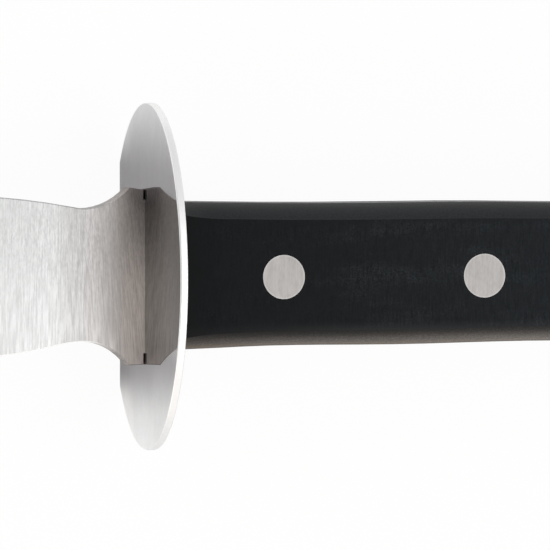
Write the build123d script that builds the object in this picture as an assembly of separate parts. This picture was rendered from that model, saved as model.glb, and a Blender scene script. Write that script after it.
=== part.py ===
from build123d import *
import math
import os

# An oyster knife: a short pointed blade with a full tang, an oval guard with one flat side,
# and two handle scales held by three two-piece rivets.
# X runs along the knife towards the butt, Y across the blade's width, Z up from the resting face.
# Everything is drawn with X zero at the guard's blade side and Z zero in the middle of the blade.

# Blade, with the heights of its two long edges above and below its middle line
blade_length = 60.0
blade_stock = 2.5
shoulder_length = 2.4
shoulder_above = 12.85
shoulder_below = 12.8
shoulder_dip_above = 0.35
shoulder_dip_below = 0.1
waist_place = 9.3
waist_above = 9.85
waist_below = 9.3
belly_place = 29.0
belly_above = 11.85
belly_below = 11.45
tip_radius = 1.2
tip_bevel_width = 4.0
tip_edge_thickness = 0.6
blade_edge_break = 0.15

# How far the blade's flanks keep straight on from the waist and from the belly, as shares of the
# way between the two
flank_shares_above = (0.05, 0.56)
flank_shares_below = (0.25, 0.66)

# Guard
guard_thickness = 1.2
guard_height = 50.0
guard_depth = 31.8
guard_shift = 1.6
guard_corner_radius = 1.0
guard_edge_round = 0.2
shoulder_gap = 0.15
neck_height = 22.1
slot_clearance = 0.1
slot_corner_radius = 0.3

# Handle
handle_length = 101.0
handle_height = 20.5
butt_flat = 2.951
scale_thickness = 9.25
side_strip = 4.25
rolled_edge_height = 2.25
front_dip = 0.85
front_dip_length = 7.5

# The handle's upper and lower edge: places as shares of its length, heights as shares of its height
top_edge_shares = ((0.0, 0.524), (0.15, 0.512), (0.36, 0.507), (0.47, 0.508), (0.64, 0.495))
bottom_edge_shares = ((0.0, 0.509), (0.15, 0.490), (0.35, 0.492), (0.60, 0.481))
butt_top_share = 0.490
butt_bottom_share = 0.532

# Rivets, each a little lower than the one before it, as the handle bends down towards the butt
rivet_count = 3
first_rivet_place = 18.0
rivet_pitch = 30.7
rivet_drop = 0.13
rivet_head_diameter = 6.35
rivet_head_thickness = 2.0
rivet_sleeve_diameter = 4.2
rivet_pin_diameter = 2.9
pin_clearance = 0.02
scale_hole_clearance = 0.05
tang_hole_clearance = 0.2
rivet_end_gap = 1.0

# Room that a cutting shape takes past the surface that it cuts
overrun = 2.0

# Sizes that follow from the ones above
half_stock = blade_stock / 2
half_thickness = half_stock + scale_thickness
head_seat = half_thickness - rivet_head_thickness
butt_radius = ((butt_top_share + butt_bottom_share) * handle_height - butt_flat) / 2
handle_start = guard_thickness
handle_end = handle_start + handle_length
first_rivet = Vector(first_rivet_place, 0)
rivet_places = [first_rivet + number * Vector(rivet_pitch, -rivet_drop) for number in range(rivet_count)]


def blade_edge_line(side):
    """One long edge of the blade, above for side 1 and below for side -1, from the tip to the neck."""
    if side > 0:
        belly_height, waist_height, flank_shares = belly_above, waist_above, flank_shares_above
        shoulder_height, shoulder_dip = shoulder_above, shoulder_dip_above
    else:
        belly_height, waist_height, flank_shares = belly_below, waist_below, flank_shares_below
        shoulder_height, shoulder_dip = shoulder_below, shoulder_dip_below
    tip = Vector(-blade_length, 0)
    belly = Vector(-belly_place, side * belly_height)
    waist = Vector(-waist_place, side * waist_height)
    peak = Vector(-shoulder_length, side * shoulder_height)
    root = Vector(-shoulder_gap, side * (shoulder_height - shoulder_dip))
    neck = Vector(-shoulder_gap, side * neck_height / 2)
    flank = belly_place - waist_place
    waist_share, belly_share = flank_shares
    leaving = waist - Vector(waist_share * flank, 0)
    arriving = belly + Vector(belly_share * flank, 0)
    return [
        TangentArc(belly, tip, tangent=(-1, 0)),
        Bezier(belly, arriving, leaving, waist),
        TangentArc(waist, peak, tangent=(1, 0)),
        Line(peak, root),
        Line(root, neck),
    ]


def handle_point(share_pair, side):
    """A point of the handle's edge, above the middle for side 1 and below it for side -1."""
    place_share, height_share = share_pair
    return Vector(handle_start + place_share * handle_length, side * height_share * handle_height)


def handle_edges():
    """The handle's outline from its upper front corner round the butt to the lower front corner."""
    butt_top = Vector(handle_end - butt_radius, butt_top_share * handle_height)
    butt_bottom = Vector(handle_end - butt_radius, -butt_bottom_share * handle_height)
    top_points = [handle_point(pair, 1) for pair in top_edge_shares] + [butt_top]
    bottom_points = [handle_point(pair, -1) for pair in bottom_edge_shares] + [butt_bottom]
    back_top = butt_top + Vector(butt_radius, -butt_radius)
    back_bottom = butt_bottom + Vector(butt_radius, butt_radius)
    return [
        Spline(*top_points, tangents=[(1, 0), (1, 0)]),
        TangentArc(butt_top, back_top, tangent=(1, 0)),
        Line(back_top, back_bottom),
        TangentArc(back_bottom, butt_bottom, tangent=(0, -1)),
        Spline(*bottom_points, tangents=[(1, 0), (1, 0)]),
    ]


def neck_line(side, handle_front):
    """The neck's edge, through the guard's slot to the handle's front corner."""
    neck_front = Vector(-shoulder_gap, side * neck_height / 2)
    neck_back = Vector(handle_start, side * neck_height / 2)
    return [Line(neck_front, neck_back), Line(neck_back, handle_front)]


def blade_and_tang():
    """Blade, neck and full tang, cut from one sheet, with the bevels ground at the tip."""
    above = blade_edge_line(1) + neck_line(1, handle_point(top_edge_shares[0], 1))
    below = blade_edge_line(-1) + neck_line(-1, handle_point(bottom_edge_shares[0], -1))
    sheet = Face(Wire(above + handle_edges() + below))
    sheet = fillet(sheet.vertices().sort_by(Axis.X)[0], tip_radius)
    blank = extrude(sheet, amount=half_stock, both=True)
    long_edges = blank.edges().filter_by(lambda edge: abs(edge.center().Z) > half_stock / 2)
    blade_edges = long_edges.filter_by(lambda edge: edge.bounding_box().max.X < -shoulder_gap / 2)
    blank = chamfer(blade_edges, blade_edge_break)
    split_plane = Plane.YZ.offset(-belly_place)
    front = split(blank, bisect_by=split_plane, keep=Keep.BOTTOM)
    rear = split(blank, bisect_by=split_plane, keep=Keep.TOP)
    ground = rear + (front & grinding_wheel(belly_above, 1) & grinding_wheel(belly_below, -1))
    hole_radius = rivet_sleeve_diameter / 2 + tang_hole_clearance
    for place in rivet_places:
        ground -= Pos(place) * Cylinder(hole_radius, blade_stock + overrun)
    return ground


def grinding_wheel(belly_height, side):
    """What the grinding of one long edge leaves: a disc with a cone on both faces of its rim.

    The rim starts to cut at the belly and reaches the bevel's full width at the tip."""
    run = blade_length - belly_place
    edge_radius = (run**2 + belly_height**2) / (2 * belly_height)
    cone_shift = tip_bevel_width * edge_radius / run
    cone_radius = math.hypot(edge_radius, cone_shift)
    slope = (half_stock - tip_edge_thickness / 2) / tip_bevel_width
    rim_radius = cone_radius + half_stock / slope
    profile = Polyline(
        (0, -half_stock),
        (cone_radius, -half_stock),
        (rim_radius, 0),
        (cone_radius, half_stock),
        (0, half_stock),
        close=True,
    )
    wheel = revolve(Plane.XZ * make_face(profile), Axis.Z)
    return Pos(cone_shift - belly_place, side * (belly_height - edge_radius), 0) * wheel


def guard():
    """Oval plate with a flat side level with the handle's back, and a slot for the neck."""
    oval = Pos(0, guard_shift) * Ellipse(guard_height / 2, guard_depth / 2)
    kept = Pos(0, -half_thickness) * Rectangle(guard_height, guard_height, align=(Align.CENTER, Align.MIN))
    outline = oval & kept
    outline = fillet(outline.vertices().group_by(Axis.Y)[0], guard_corner_radius)
    plate = extrude(Plane.YZ * outline, amount=guard_thickness)
    rims = plate.faces().sort_by(Axis.X)[0].edges() + plate.faces().sort_by(Axis.X)[-1].edges()
    plate = fillet(rims, guard_edge_round)
    slot_height = neck_height + 2 * slot_clearance
    slot_width = blade_stock + 2 * slot_clearance
    slot = Plane.YZ * RectangleRounded(slot_height, slot_width, slot_corner_radius)
    return plate - extrude(slot, amount=guard_thickness + overrun, both=True)


def scale_envelope():
    """Room for the front scale seen from the edge: flat, with a shallow dip down to the guard."""
    low = half_stock - overrun
    dip_start = Vector(handle_start, half_thickness - front_dip)
    dip_end = Vector(handle_start + front_dip_length, half_thickness)
    back = Vector(handle_end + overrun, half_thickness)
    edges = [
        Line((handle_start, low), dip_start),
        TangentArc(dip_end, dip_start, tangent=(-1, 0)),
        Line(dip_end, back),
        Line(back, (back.X, low)),
        Line((back.X, low), (handle_start, low)),
    ]
    return extrude(Plane.XZ * Face(Wire(edges)), amount=handle_height, both=True)


def front_scale():
    """One handle scale, with its long edges and butt rolled, and counterbored for the rivets."""
    rolled_depth = scale_thickness - side_strip
    rolled_radius = (rolled_edge_height**2 + rolled_depth**2) / (2 * rolled_edge_height)
    front_edge = Line(handle_point(bottom_edge_shares[0], -1), handle_point(top_edge_shares[0], 1))
    outline = Face(Wire(handle_edges() + [front_edge]))
    block = Pos(0, 0, half_stock) * extrude(outline, amount=side_strip + rolled_radius, dir=(0, 0, 1))
    top_edges = block.faces().sort_by(Axis.Z)[-1].edges().sort_by(Axis.X)[1:]
    block = fillet(top_edges, rolled_radius)
    block &= scale_envelope()
    shank_hole = post(rivet_sleeve_diameter / 2 + scale_hole_clearance, 0, half_thickness)
    counterbore_radius = rivet_head_diameter / 2 + scale_hole_clearance
    counterbore = post(counterbore_radius, head_seat, half_thickness + overrun)
    for place in rivet_places:
        block -= Pos(place) * (shank_hole + counterbore)
    return block


def post(radius, low, high):
    """An upright round bar between two heights."""
    bar = Cylinder(radius, high - low, align=(Align.CENTER, Align.CENTER, Align.MIN))
    return Pos(0, 0, low) * bar


def rivet_pin():
    """Solid half of a rivet, from the front, that is driven into the sleeve."""
    head = post(rivet_head_diameter / 2, head_seat, half_thickness)
    shank = post(rivet_pin_diameter / 2, rivet_end_gap - head_seat, head_seat)
    return head + shank


def rivet_sleeve():
    """Hollow half of a rivet, from the back, whose tube takes the pin."""
    head = post(rivet_head_diameter / 2, -half_thickness, -head_seat)
    tube = post(rivet_sleeve_diameter / 2, -head_seat, head_seat - rivet_end_gap)
    bore = post(rivet_pin_diameter / 2 + pin_clearance, -head_seat, head_seat)
    return head + (tube - bore)


def save(solid, name, in_frame):
    """Puts a piece in the knife's frame and writes its file."""
    placed = in_frame * solid
    placed.label = name
    export_step(placed, f"parts/{name}.step")


os.makedirs("parts", exist_ok=True)
blade = blade_and_tang()
middle_of_length = blade.bounding_box().center().X
in_frame = Location((-middle_of_length, 0, half_thickness))
scale_front = front_scale()
save(blade, "blade_and_tang", in_frame)
save(guard(), "guard", in_frame)
save(scale_front, "scale_front", in_frame)
save(mirror(scale_front, about=Plane.XY), "scale_back", in_frame)
for number, place in enumerate(rivet_places, start=1):
    save(Pos(place) * rivet_pin(), f"rivet_pin_{number}", in_frame)
    save(Pos(place) * rivet_sleeve(), f"rivet_sleeve_{number}", in_frame)
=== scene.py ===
import math

import bpy
from mathutils import Matrix, Vector


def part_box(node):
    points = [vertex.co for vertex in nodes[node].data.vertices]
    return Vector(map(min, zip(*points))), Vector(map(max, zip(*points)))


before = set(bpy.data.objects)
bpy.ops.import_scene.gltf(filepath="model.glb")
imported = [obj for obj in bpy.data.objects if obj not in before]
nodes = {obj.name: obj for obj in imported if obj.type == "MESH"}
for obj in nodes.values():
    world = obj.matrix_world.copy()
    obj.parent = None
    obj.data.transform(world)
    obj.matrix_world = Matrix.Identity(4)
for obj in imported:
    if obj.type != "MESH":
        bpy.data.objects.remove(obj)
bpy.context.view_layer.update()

# Blade and tang: one piece of stainless sheet, with a short pointed blade in front of the guard.
# Its faces are ground across the width, so fine short lines run from edge to edge. The steel's
# colour holds painted reflection and shade from the guard, with painted shade darkest in the
# corner by the guard, most of all at the upper edge.

mm = 0.001
blade_low, blade_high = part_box("blade_and_tang")
guard_low, guard_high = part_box("guard")


def fresh_material(name):
    """A node material with nothing in it but a Principled shader and the output."""
    material = bpy.data.materials.new(name)
    material.use_nodes = True
    tree = material.node_tree
    tree.nodes.clear()
    output = tree.nodes.new("ShaderNodeOutputMaterial")
    shader = tree.nodes.new("ShaderNodeBsdfPrincipled")
    tree.links.new(shader.outputs["BSDF"], output.inputs["Surface"])
    return material, tree, shader


def feed(tree, socket, value):
    """Gives a socket its value: another node's output, or a number or colour of its own."""
    if isinstance(value, bpy.types.NodeSocket):
        tree.links.new(value, socket)
    else:
        socket.default_value = value


def add_node(tree, kind, inputs=None, **settings):
    """A node with its settings and inputs."""
    node = tree.nodes.new(kind)
    for name, value in settings.items():
        setattr(node, name, value)
    for name, value in (inputs or {}).items():
        feed(tree, node.inputs[name], value)
    return node


def add_math(tree, operation, first, second=0.0):
    """The result of one sum on two values."""
    return add_node(tree, "ShaderNodeMath", {0: first, 1: second}, operation=operation).outputs[0]


def remap(tree, value, old_low, old_high, new_low=0.0, new_high=1.0):
    """Takes a value from one range to another, smoothly, and holds it at both ends."""
    given = {
        "Value": value,
        "From Min": old_low,
        "From Max": old_high,
        "To Min": new_low,
        "To Max": new_high,
    }
    return add_node(tree, "ShaderNodeMapRange", given, interpolation_type="SMOOTHSTEP").outputs["Result"]


def eased(tree, share, first, second):
    """A number that goes smoothly from the first to the second, as a share rises from 0 to 1."""
    return remap(tree, share, 0.0, 1.0, first, second)


def tinted(tree, share, first, second):
    """Mixes two colours, by the share of the second."""
    given = {"Factor": share, "A": first, "B": second}
    return add_node(tree, "ShaderNodeMix", given, data_type="RGBA").outputs["Result"]


def multiplied(tree, first, second):
    """One colour times another."""
    given = {"Factor": 1.0, "A": first, "B": second}
    mix = add_node(tree, "ShaderNodeMix", given, data_type="RGBA", blend_type="MULTIPLY")
    return mix.outputs["Result"]


def grey(value):
    """An opaque grey."""
    return (value, value, value, 1.0)


def scaled_vector(tree, vector, density):
    """A place with each of its directions stretched by its own density."""
    given = {0: vector, 1: density}
    return add_node(tree, "ShaderNodeVectorMath", given, operation="MULTIPLY").outputs[0]


def make_ground_lines():
    """What a grinding belt leaves, from 0 to 1: short and long fine lines, and broad bands.

    Density is the number of short lines in a metre, in each direction."""
    group = bpy.data.node_groups.new("ground_lines", "ShaderNodeTree")
    for name in ("Place", "Density"):
        group.interface.new_socket(name, in_out="INPUT", socket_type="NodeSocketVector")
    given = group.nodes.new("NodeGroupInput")
    result = group.nodes.new("NodeGroupOutput")
    # Each kind's density in the three directions, as a share of the short lines'
    kinds = {"Short": (1.0, 1.0, 1.0), "Long": (0.85, 0.16, 0.16), "Broad": (0.25, 0.22, 0.22)}
    noise_low, noise_high = 0.25, 0.75
    place = scaled_vector(group, given.outputs["Place"], given.outputs["Density"])
    for name, stretch in kinds.items():
        group.interface.new_socket(name, in_out="OUTPUT", socket_type="NodeSocketFloat")
        spread = scaled_vector(group, place, stretch)
        noise = add_node(group, "ShaderNodeTexNoise", {"Vector": spread, "Scale": 1.0, "Detail": 1.0})
        feed(group, result.inputs[name], remap(group, noise.outputs["Fac"], noise_low, noise_high))
    return group


ground_lines = make_ground_lines()


def add_ground_lines(tree, place, density, broad_share, long_share=0.5):
    """A belt's marks on one piece, from 0 to 1: its fine lines, with a share of broad bands."""
    given = {"Place": place, "Density": density}
    lines = add_node(tree, "ShaderNodeGroup", given, node_tree=ground_lines)
    mixed = {"Factor": long_share, "A": lines.outputs["Short"], "B": lines.outputs["Long"]}
    fine = add_node(tree, "ShaderNodeMix", mixed).outputs["Result"]
    whole = {"Factor": broad_share, "A": fine, "B": lines.outputs["Broad"]}
    return add_node(tree, "ShaderNodeMix", whole).outputs["Result"]


def add_ramp(tree, value, stops):
    """Colours by a value, with each stop's place and colour, the two ends first."""
    ramp = add_node(tree, "ShaderNodeValToRGB", {"Fac": value})
    ramp.color_ramp.interpolation = "EASE"
    ends = len(ramp.color_ramp.elements)
    for number, (place, colour) in enumerate(stops):
        if number < ends:
            stop = ramp.color_ramp.elements[number]
            stop.position = place
        else:
            stop = ramp.color_ramp.elements.new(place)
        stop.color = colour
    return ramp.outputs["Color"]


# The steel's colour from the guard towards the tip, its two ends first: painted reflection and shade
painted_tone_stops = (
    (0.0, (0.852, 0.783, 0.738, 1)),
    (1.0, (0.585, 0.596, 0.592, 1)),
    (0.21, (0.606, 0.587, 0.578, 1)),
    (0.32, (0.596, 0.583, 0.576, 1)),
    (0.5, (0.555, 0.552, 0.548, 1)),
    (0.7, (0.613, 0.621, 0.619, 1)),
)
# Painted shade on the lower chamfer beside the guard
chamfer_shade_by_guard = (0.335, 0.32, 0.312, 1)

# What the steel's colour is multiplied by for the painted shade in the corner by the guard
corner_shade_factor = (0.385, 0.385, 0.395, 1)

# How far from the guard each change in the steel reaches
tone_reach = 22 * mm
lean_reach = 16 * mm
corner_reach = 12 * mm
close_reach = 6 * mm

# Short lines in a metre, along the blade, across it and through it, and how deep they look
belt_density = (6600.0, 1500.0, 1500.0)
mark_depth = 0.01 * mm


def blade_steel():
    """Stainless steel, ground across the blade."""
    material, tree, shader = fresh_material("blade_steel")
    texture = add_node(tree, "ShaderNodeTexCoord")
    axes = add_node(tree, "ShaderNodeSeparateXYZ", {0: texture.outputs["Object"]})
    along, across = axes.outputs["X"], axes.outputs["Y"]
    away = add_math(tree, "ABSOLUTE", add_math(tree, "SUBTRACT", along, guard_low.x))
    from_guard = remap(tree, away, 0.0, tone_reach)
    corner = remap(tree, away, corner_reach, 0.0)
    closeness = remap(tree, away, close_reach, 0.0)

    # The lines lean by the guard, and more of them are long towards the lower edge
    lean = remap(tree, along, guard_low.x - lean_reach, guard_low.x, -0.02, 0.09)
    sheared = add_math(tree, "ADD", along, add_math(tree, "MULTIPLY", across, lean))
    belt_place = add_node(tree, "ShaderNodeCombineXYZ", {0: sheared, 1: across, 2: axes.outputs["Z"]})
    broad_share = eased(tree, corner, 0.06, 0.2)
    long_share = remap(tree, across, 5 * mm, -8 * mm, 0.5, 0.75)
    marks = add_ground_lines(tree, belt_place.outputs[0], belt_density, broad_share, long_share)

    # The steel's tone from the guard is painted reflection and shade.
    # The marks are stronger in the corner by the guard
    steel = add_ramp(tree, from_guard, painted_tone_stops)
    hollows = tinted(tree, from_guard, grey(0.87), grey(0.93))
    ridges = tinted(tree, from_guard, grey(1.16), grey(1.085))
    faint = tinted(tree, marks, hollows, ridges)
    strong = tinted(tree, marks, grey(0.80), grey(1.20))
    steel = multiplied(tree, steel, tinted(tree, corner, faint, strong))

    # Painted shade: the steel darkens towards the upper edge, and close to the guard,
    # most near the upper edge and a little near the lower one
    upward = remap(tree, across, -11 * mm, 11 * mm)
    steel = multiplied(tree, steel, tinted(tree, upward, grey(1.0), grey(0.86)))
    height = remap(tree, across, -3 * mm, 13 * mm)
    depth = remap(tree, across, -6 * mm, -13 * mm, 0.0, 0.3)
    brow = remap(tree, across, 9 * mm, 12.5 * mm, 0.0, 0.25)
    shade_spread = add_math(tree, "ADD", add_math(tree, "MAXIMUM", height, depth), brow)
    corner_shade = add_math(tree, "MULTIPLY", closeness, shade_spread)
    steel = multiplied(tree, steel, tinted(tree, corner_shade, grey(1.0), corner_shade_factor))

    # Painted light: towards the tip the lower border is brighter
    lit_lower_border = remap(tree, across, -11.0 * mm, -13.5 * mm, 0.0, 0.5)
    steel = tinted(tree, add_math(tree, "MULTIPLY", lit_lower_border, from_guard), steel, grey(0.72))

    # Painted highlight on the lower chamfer, and painted shade near the guard on the chamfer
    # and on the lower shoulder
    facing = add_node(tree, "ShaderNodeSeparateXYZ", {0: texture.outputs["Normal"]})
    on_blade = remap(tree, along, guard_low.x, guard_high.x, 1.0, 0.0)
    downward = remap(tree, facing.outputs["Y"], -0.2, -0.6)
    frontward = remap(tree, facing.outputs["Z"], 0.1, 0.4)
    chamfer = add_math(tree, "MULTIPLY", downward, frontward)
    clear_of_guard = remap(tree, away, 3.5 * mm, 10 * mm)
    painted_chamfer = tinted(tree, clear_of_guard, chamfer_shade_by_guard, grey(0.95))
    steel = tinted(tree, add_math(tree, "MULTIPLY", chamfer, on_blade), steel, painted_chamfer)
    tipward = add_math(tree, "MULTIPLY", remap(tree, facing.outputs["X"], -0.35, -0.65), on_blade)
    shoulder = add_math(tree, "MULTIPLY", remap(tree, away, 9 * mm, 5 * mm), tipward)
    lower_half = remap(tree, across, -5 * mm, -9 * mm)
    shaded_lower_shoulder = add_math(tree, "MULTIPLY", shoulder, lower_half)
    steel = multiplied(tree, steel, tinted(tree, shaded_lower_shoulder, grey(1.0), grey(0.46)))

    feed(tree, shader.inputs["Base Color"], steel)
    shader.inputs["Metallic"].default_value = 1.0
    ground = eased(tree, marks, 0.48, 0.40)
    scuff_and_light = eased(tree, closeness, 0.0, 0.22)
    feed(tree, shader.inputs["Roughness"], add_math(tree, "ADD", ground, scuff_and_light))
    bump = add_node(tree, "ShaderNodeBump", {"Strength": 0.2, "Distance": mark_depth, "Height": marks})
    feed(tree, shader.inputs["Normal"], bump.outputs["Normal"])
    return material


def dress(name, material):
    """Gives a carried-over node its material."""
    piece = nodes[name]
    piece.data.materials.clear()
    piece.data.materials.append(material)


dress("blade_and_tang", blade_steel())

# Guard: an oval plate of stainless sheet with one flat side, slid over the tang and held between
# the blade's shoulders and the scales. Both faces are mirror polished, and their colour holds a
# painted reflection of the knife and its shadow: darker round the slot, lighter towards the ends.
# The rim is only brushed, across the sheet's thickness, and its near-white colour is a painted
# highlight.

# The faces' painted reflection colours round the slot and at the plate's two ends. Middle, foot
# and crown are heights above the table on the lower half, and upper is the other half.
slot_shade_tones = {
    "middle": (0.395, 0.384, 0.395, 1),
    "foot": (0.33, 0.322, 0.33, 1),
    "crown": (0.41, 0.40, 0.41, 1),
    "upper": (0.46, 0.45, 0.46, 1),
}
lit_end_tones = {
    "middle": (0.945, 0.953, 0.96, 1),
    "foot": grey(1.0),
    "crown": (0.85, 0.858, 0.862, 1),
    "upper": (0.80, 0.805, 0.81, 1),
}

# How far from the knife's middle line the ends' colours start and where they are full, on each half
lower_starts = {"middle": 12.6 * mm, "foot": 13.5 * mm, "crown": 11.5 * mm}
lower_stops = {"middle": 20.9 * mm, "foot": 18.9 * mm, "crown": 20.5 * mm}
upper_starts = {"middle": 14.0 * mm, "foot": 15.3 * mm}
upper_stops = {"middle": 26.0 * mm, "foot": 21.5 * mm}

# Lines in a metre, along the knife, across it and upwards
rim_density = (300.0, 5000.0, 5000.0)
streak_density = (400.0, 900.0, 3200.0)


def face_colour(tree, foot, crown, upper, tones):
    """One of the guard's painted reflection colours, by the height above the table and the half."""
    low = tinted(tree, foot, tones["middle"], tones["foot"])
    return tinted(tree, upper, tinted(tree, crown, low, tones["crown"]), tones["upper"])


def face_distance(tree, foot, crown, upper, lower_half, upper_half):
    """One of the guard's distances, by the height above the table and by the half."""
    low = eased(tree, foot, lower_half["middle"], lower_half["foot"])
    lower = eased(tree, crown, low, lower_half["crown"])
    return eased(tree, upper, lower, eased(tree, foot, upper_half["middle"], upper_half["foot"]))


def guard_steel():
    """Stainless steel, mirror polished on its faces and brushed on its rim."""
    material, tree, shader = fresh_material("guard_steel")
    texture = add_node(tree, "ShaderNodeTexCoord")
    place = texture.outputs["Object"]
    facing = add_node(tree, "ShaderNodeSeparateXYZ", {0: texture.outputs["Normal"]}).outputs["X"]
    rim = remap(tree, add_math(tree, "ABSOLUTE", facing), 0.6, 0.95, 1.0, 0.0)
    axes = add_node(tree, "ShaderNodeSeparateXYZ", {0: place})
    across, height = axes.outputs["Y"], axes.outputs["Z"]

    cloud = add_node(tree, "ShaderNodeTexNoise", {"Vector": place, "Scale": 150.0, "Detail": 4.0})
    polish = remap(tree, cloud.outputs["Fac"], 0.3, 0.7, 0.02, 0.06)
    marks = add_ground_lines(tree, place, rim_density, 0.3)
    brushed = eased(tree, marks, 0.50, 0.36)
    rough = add_node(tree, "ShaderNodeMix", {"Factor": rim, "A": polish, "B": brushed})
    feed(tree, shader.inputs["Roughness"], rough.outputs["Result"])

    outward = add_math(tree, "ABSOLUTE", across)
    upper = remap(tree, across, -9 * mm, 9 * mm)
    foot = remap(tree, height, 9 * mm, 2 * mm)
    crown = remap(tree, height, 11 * mm, 20 * mm)

    # Painted reflection: the darkest steel is right beside the blade, above its face
    above_blade = remap(tree, height, blade_high.z + 5 * mm, blade_high.z + 16 * mm)
    corner = tinted(tree, above_blade, grey(0.232), grey(0.455))
    corner = multiplied(tree, corner, tinted(tree, upper, grey(1.15), grey(0.90)))
    below = remap(tree, height, blade_high.z, blade_high.z - 6 * mm)
    beyond = add_math(tree, "MAXIMUM", below, remap(tree, outward, 10.0 * mm, 13.2 * mm))
    slot_colour = face_colour(tree, foot, crown, upper, slot_shade_tones)
    beside_slot = tinted(tree, beyond, corner, slot_colour)

    # From there the painted reflection brightens towards both ends
    ends_start = face_distance(tree, foot, crown, upper, lower_starts, upper_starts)
    ends_stop = face_distance(tree, foot, crown, upper, lower_stops, upper_stops)
    ends = remap(tree, outward, ends_start, ends_stop)
    end_colour = face_colour(tree, foot, crown, upper, lit_end_tones)
    polished = tinted(tree, ends, beside_slot, end_colour)
    streaks = add_ground_lines(tree, place, streak_density, 0.15)
    polished = multiplied(tree, polished, tinted(tree, streaks, grey(0.955), grey(1.045)))

    # Painted highlight: the rim is near white, lighter towards its upper end
    edge = tinted(tree, remap(tree, across, 4 * mm, 18 * mm), grey(0.85), grey(1.0))
    edge = multiplied(tree, edge, tinted(tree, marks, grey(0.96), grey(1.0)))
    feed(tree, shader.inputs["Base Color"], tinted(tree, rim, polished, edge))
    shader.inputs["Metallic"].default_value = 1.0
    return material


dress("guard", guard_steel())

# Handle scales: two slabs of black acetal, sawn and milled to the tang's outline, with their long
# edges and butt rolled. Fine upright sanding marks and a little haze are left on the flat sides.
# The rolled edges carry painted light and a painted sheen, the lower one most at its outer line,
# and the flats carry painted light beside the guard and along the lower rolled edge.

handle_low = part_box("scale_front")[0]

# The lower rolled edge's painted sheen from its inner line to its outer one, its two ends first
lower_edge_sheen_stops = (
    (0.0, (0.036, 0.035, 0.034, 1)),
    (1.0, (0.190, 0.151, 0.116, 1)),
    (0.6, (0.165, 0.150, 0.138, 1)),
)

# The plastic towards the guard and away from it, in the sanding marks' hollows and on their ridges
near_hollow, near_ridge = (0.0, 0.0002, 0.0006, 1), (0.0020, 0.0032, 0.0044, 1)
far_hollow, far_ridge = (0.0012, 0.0032, 0.0050, 1), (0.0096, 0.0120, 0.0142, 1)
haze_colour = (0.036, 0.042, 0.047, 1)
# Painted light on the flats beside the guard, where the guard's shadow falls
lit_plastic_beside_guard = (0.0085, 0.0090, 0.0096, 1)
# Painted light in the strip beside the lower rolled edge
lit_strip_plastic = (0.024, 0.0245, 0.025, 1)
# Painted light on the upper rolled edge, at its inner and outer line
upper_edge_light_inner, upper_edge_light_outer = (0.0215, 0.023, 0.0255, 1), (0.024, 0.0255, 0.0265, 1)

# What the upper rolled edge's painted light is multiplied by right beside the guard
edge_light_factor = (1.7, 1.65, 1.6, 1)

# Lines, specks and clouds in a metre
sanding_density = (4800.0, 2400.0, 2400.0)
speckle_density = 4200.0
cloud_density = (80.0, 330.0, 120.0)


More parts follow.
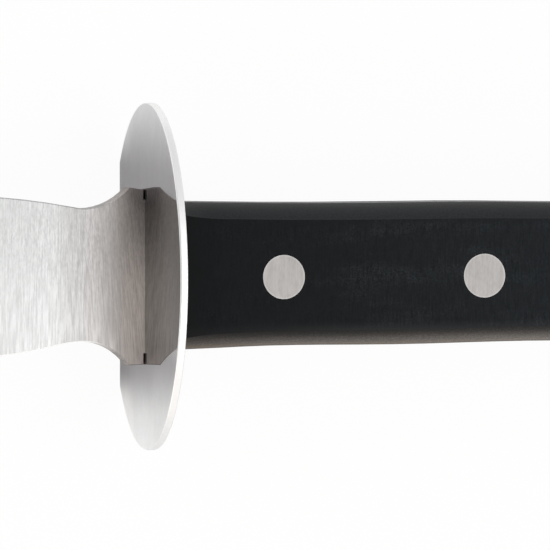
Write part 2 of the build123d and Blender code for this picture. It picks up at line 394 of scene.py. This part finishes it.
def handle_plastic():
    """Black satin acetal."""
    material, tree, shader = fresh_material("handle_plastic")
    texture = add_node(tree, "ShaderNodeTexCoord")
    place = texture.outputs["Object"]
    axes = add_node(tree, "ShaderNodeSeparateXYZ", {0: place})
    along, across = axes.outputs["X"], axes.outputs["Y"]
    nearby = remap(tree, along, handle_low.x, handle_low.x + 7 * mm, 1.0, 0.0)
    hazed = remap(tree, along, handle_low.x + 6 * mm, handle_low.x + 30 * mm, 0.3, 1.0)
    farther = remap(tree, along, handle_low.x + 8 * mm, handle_low.x + 62 * mm, 0.1, 1.0)

    # The flat sides: sanding marks, with specks and clouds of haze in them
    marks = add_ground_lines(tree, place, sanding_density, 0.2)
    speckle = {"Vector": place, "Scale": speckle_density, "Detail": 1.0}
    specks = add_node(tree, "ShaderNodeTexNoise", speckle).outputs["Fac"]
    spots = remap(tree, specks, 0.2, 0.8)
    drawn_out = scaled_vector(tree, place, cloud_density)
    cloud = add_node(tree, "ShaderNodeTexNoise", {"Vector": drawn_out, "Scale": 1.0, "Detail": 4.0})
    patches = remap(tree, cloud.outputs["Fac"], 0.40, 0.80)
    grain = add_math(tree, "MULTIPLY", marks, spots)
    haze = add_math(tree, "MULTIPLY", add_math(tree, "MULTIPLY", patches, hazed), grain)
    near = tinted(tree, marks, near_hollow, near_ridge)
    far = tinted(tree, marks, far_hollow, far_ridge)
    plastic = tinted(tree, farther, near, far)
    plastic = tinted(tree, haze, plastic, haze_colour)
    # Painted light on the flats beside the guard, where the guard's shadow falls
    plastic = tinted(tree, nearby, plastic, lit_plastic_beside_guard)

    # Painted light: a paler strip on the flats along the lower rolled edge
    facing = add_node(tree, "ShaderNodeSeparateXYZ", {0: texture.outputs["Normal"]})
    rolled = remap(tree, add_math(tree, "ABSOLUTE", facing.outputs["Y"]), 0.24, 0.53)
    not_flank = remap(tree, add_math(tree, "ABSOLUTE", facing.outputs["Z"]), 0.04, 0.32)
    beside_edge = remap(tree, across, -6.3 * mm, -8.6 * mm)
    scuff_and_light = add_math(tree, "MULTIPLY", add_math(tree, "MULTIPLY", beside_edge, hazed), not_flank)
    plastic = tinted(tree, scuff_and_light, plastic, lit_strip_plastic)

    # The rolled edges carry painted light. The lower one has a painted warm sheen where it turns
    # away from the eye.
    outward = remap(tree, add_math(tree, "ABSOLUTE", across), 7.0 * mm, 10.8 * mm)
    upper_edge = tinted(tree, outward, upper_edge_light_inner, upper_edge_light_outer)
    upper_edge = multiplied(tree, upper_edge, tinted(tree, spots, grey(0.8), grey(1.2)))
    upper_edge = multiplied(tree, upper_edge, tinted(tree, nearby, grey(1.0), edge_light_factor))
    lower_edge = add_ramp(tree, outward, lower_edge_sheen_stops)
    grazing = add_node(tree, "ShaderNodeLayerWeight", {"Blend": 0.5}).outputs["Facing"]
    sheen = remap(tree, grazing, 0.25, 0.95)
    seen_square = tinted(tree, farther, grey(0.17), grey(0.42))
    lower_edge = multiplied(tree, lower_edge, tinted(tree, sheen, seen_square, grey(1.0)))
    lower_edge = multiplied(tree, lower_edge, tinted(tree, spots, grey(0.65), grey(1.3)))
    lower_edge = multiplied(tree, lower_edge, tinted(tree, farther, grey(0.83), grey(0.98)))
    edge_sheen = tinted(tree, remap(tree, across, -1 * mm, 1 * mm), lower_edge, upper_edge)
    plastic = tinted(tree, add_math(tree, "MULTIPLY", rolled, not_flank), plastic, edge_sheen)

    satin = remap(tree, cloud.outputs["Fac"], 0.3, 0.7, 0.36, 0.46)
    rough = add_node(tree, "ShaderNodeMix", {"Factor": rolled, "A": satin, "B": 0.52})
    feed(tree, shader.inputs["Base Color"], plastic)
    feed(tree, shader.inputs["Roughness"], rough.outputs["Result"])
    shader.inputs["Specular IOR Level"].default_value = 0.085
    bump = add_node(tree, "ShaderNodeBump", {"Strength": 0.15, "Distance": mark_depth, "Height": marks})
    feed(tree, shader.inputs["Normal"], bump.outputs["Normal"])
    return material


acetal = handle_plastic()
for name in ("scale_front", "scale_back"):
    dress(name, acetal)

# Rivets: two-piece cutlery rivets of steel. A solid pin from the front is pressed into a hollow
# sleeve from the back, and both heads are ground flush with the scales, with fine upright lines.

rivet_numbers = (1, 2, 3)
pin_boxes = [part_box(f"rivet_pin_{number}") for number in rivet_numbers]
head_radius = (pin_boxes[0][1].x - pin_boxes[0][0].x) / 2
head_density = (4800.0, 1300.0, 1300.0)
head_hollow, head_ridge = (0.297, 0.285, 0.278, 1), (0.337, 0.323, 0.315, 1)

# What the steel's colour is multiplied by for the painted highlight at a head's border
border_highlight_factor = (1.20, 1.22, 1.23, 1)


def distance_from_axis(tree, place, box):
    """How far a place is from the upright axis of a box."""
    low, high = box
    flat_place = scaled_vector(tree, place, (1.0, 1.0, 0.0))
    axis = ((low.x + high.x) / 2, (low.y + high.y) / 2, 0.0)
    given = {0: flat_place, 1: axis}
    return add_node(tree, "ShaderNodeVectorMath", given, operation="DISTANCE").outputs["Value"]


def rivet_steel():
    """Steel, ground flush, with a painted highlight round the head's border."""
    material, tree, shader = fresh_material("rivet_steel")
    place = add_node(tree, "ShaderNodeTexCoord").outputs["Object"]
    marks = add_ground_lines(tree, place, head_density, 0.25)
    smudge = add_node(tree, "ShaderNodeTexNoise", {"Vector": place, "Scale": 300.0, "Detail": 2.0})
    smudged = remap(tree, smudge.outputs["Fac"], 0.35, 0.65)
    steel = tinted(tree, marks, head_hollow, head_ridge)
    steel = multiplied(tree, steel, tinted(tree, smudged, grey(0.97), grey(1.03)))
    outward = distance_from_axis(tree, place, pin_boxes[0])
    for box in pin_boxes[1:]:
        outward = add_math(tree, "MINIMUM", outward, distance_from_axis(tree, place, box))
    # Painted highlight round each head's border
    border = remap(tree, outward, head_radius - 0.25 * mm, head_radius - 0.05 * mm)
    steel = multiplied(tree, steel, tinted(tree, border, grey(1.0), border_highlight_factor))
    feed(tree, shader.inputs["Base Color"], steel)
    shader.inputs["Metallic"].default_value = 1.0
    feed(tree, shader.inputs["Roughness"], eased(tree, marks, 0.46, 0.40))
    return material


ground_steel = rivet_steel()
for number in rivet_numbers:
    for half in ("rivet_pin", "rivet_sleeve"):
        dress(f"{half}_{number}", ground_steel)

# Camera: it looks down on the knife from the blade's side, as in the photograph, with a long lens.
# The middle of the guard's blade-side face, at the blade's half thickness, falls on aim_px.

picture_size = 550
focal_px = 10000.0
aim_px = Vector((142.128, 276.218))
aim_point = Vector((guard_low.x, 0.0, (blade_low.z + blade_high.z) / 2))
camera_distance = 1440.667 * mm
yaw, pitch, roll = math.radians(19.0), math.radians(1.8), math.radians(-0.03)

back = Vector((-math.sin(yaw) * math.cos(pitch), math.sin(pitch), math.cos(yaw) * math.cos(pitch)))
level_right = Vector((math.cos(yaw), 0.0, math.sin(yaw)))
level_up = back.cross(level_right)
right = math.cos(roll) * level_right + math.sin(roll) * level_up
up = math.cos(roll) * level_up - math.sin(roll) * level_right
aside = (picture_size / 2 - aim_px.x) * camera_distance / focal_px
above = (aim_px.y - picture_size / 2) * camera_distance / focal_px

lens = bpy.data.cameras.new("camera")
lens.sensor_width = 36.0
lens.lens = focal_px / picture_size * lens.sensor_width
lens.clip_start = 0.05
lens.clip_end = 20.0
camera = bpy.data.objects.new("camera", lens)
bpy.context.scene.collection.objects.link(camera)
camera_place = aim_point + aside * right + above * up + camera_distance * back
camera.matrix_world = Matrix.Translation(camera_place) @ Matrix((right, up, back)).transposed().to_4x4()
bpy.context.scene.camera = camera

# Table: a plain white sheet, a hair below the knife so that no faces share a plane. The camera sees
# it nearly as bright as the page, with a trace of the knife's soft shadow. The polished steel sees
# it less helped towards white, so that the shadow stays in its reflection.

table_reach = 3.0
table_drop = 0.02 * mm
page_share_for_camera = 0.95
page_share_in_steel = 0.3
quarters = ((-1, -1), (1, -1), (1, 1), (-1, 1))
corners = [(x * table_reach, y * table_reach, -table_drop) for x, y in quarters]
table_mesh = bpy.data.meshes.new("table")
table_mesh.from_pydata(corners, [], [(0, 1, 2, 3)])
table = bpy.data.objects.new("table", table_mesh)
bpy.context.scene.collection.objects.link(table)


def white_paper():
    """Matt white, helped towards plain white for the camera and, less, for reflections."""
    material, tree, shader = fresh_material("white_paper")
    shader.inputs["Base Color"].default_value = grey(0.92)
    shader.inputs["Roughness"].default_value = 0.8
    page = add_node(tree, "ShaderNodeEmission", {"Color": grey(1.0), "Strength": 1.0})
    path = add_node(tree, "ShaderNodeLightPath").outputs
    seen = add_math(tree, "MULTIPLY", path["Is Camera Ray"], page_share_for_camera)
    mirrored = add_math(tree, "MAXIMUM", path["Is Glossy Ray"], path["Is Transmission Ray"])
    mirrored = add_math(tree, "MULTIPLY", mirrored, page_share_in_steel)
    share = add_math(tree, "MAXIMUM", seen, mirrored)
    mix = add_node(tree, "ShaderNodeMixShader", {0: share, 1: shader.outputs[0], 2: page.outputs[0]})
    tree.links.new(mix.outputs[0], tree.nodes["Material Output"].inputs["Surface"])
    return material


table_mesh.materials.append(white_paper())

# Light: a soft box high on the handle's side, and a bright room with a dark place where the camera
# stands. The room is dimmer beyond the knife's upper edge, warmer before its lower edge, and
# brightest off its tip.

lamp_place = Vector((0.55, -0.1, 1.2))
soft_box = bpy.data.lights.new("overhead", "AREA")
soft_box.shape = "SQUARE"
soft_box.size = 1.1
soft_box.energy = 5.0
lamp = bpy.data.objects.new("overhead", soft_box)
bpy.context.scene.collection.objects.link(lamp)
lamp.location = lamp_place
lamp.rotation_euler = (-lamp_place).to_track_quat("-Z", "Y").to_euler()

room_strength = 1.17
near_walls, far_walls = (1.0, 0.97, 0.94, 1), (0.60, 0.60, 0.61, 1)

# The dark place's outer and inner border, as angles from the camera's direction, and its strength
dark_outer, dark_inner = math.radians(42), math.radians(14)
dark_level = 0.08


def light_room():
    """The light that comes from all round."""
    world = bpy.data.worlds.new("room")
    bpy.context.scene.world = world
    world.use_nodes = True
    tree = world.node_tree
    heading = add_node(tree, "ShaderNodeTexCoord").outputs["Generated"]
    axes = add_node(tree, "ShaderNodeSeparateXYZ", {0: heading})
    beyond = remap(tree, axes.outputs["Y"], -0.9, 0.9)
    walls = tinted(tree, beyond, near_walls, far_walls)
    off_tip = remap(tree, axes.outputs["X"], -0.9, 0.1, 1.5, 1.0)
    nearness = add_node(tree, "ShaderNodeVectorMath", {0: heading, 1: back}, operation="DOT_PRODUCT")
    wide, narrow = math.cos(dark_outer), math.cos(dark_inner)
    dark = remap(tree, nearness.outputs["Value"], wide, narrow, 1.0, dark_level)
    background = tree.nodes["Background"]
    feed(tree, background.inputs["Color"], walls)
    strength = add_math(tree, "MULTIPLY", add_math(tree, "MULTIPLY", dark, off_tip), room_strength)
    feed(tree, background.inputs["Strength"], strength)


light_room()
bpy.context.scene.view_settings.view_transform = "Standard"
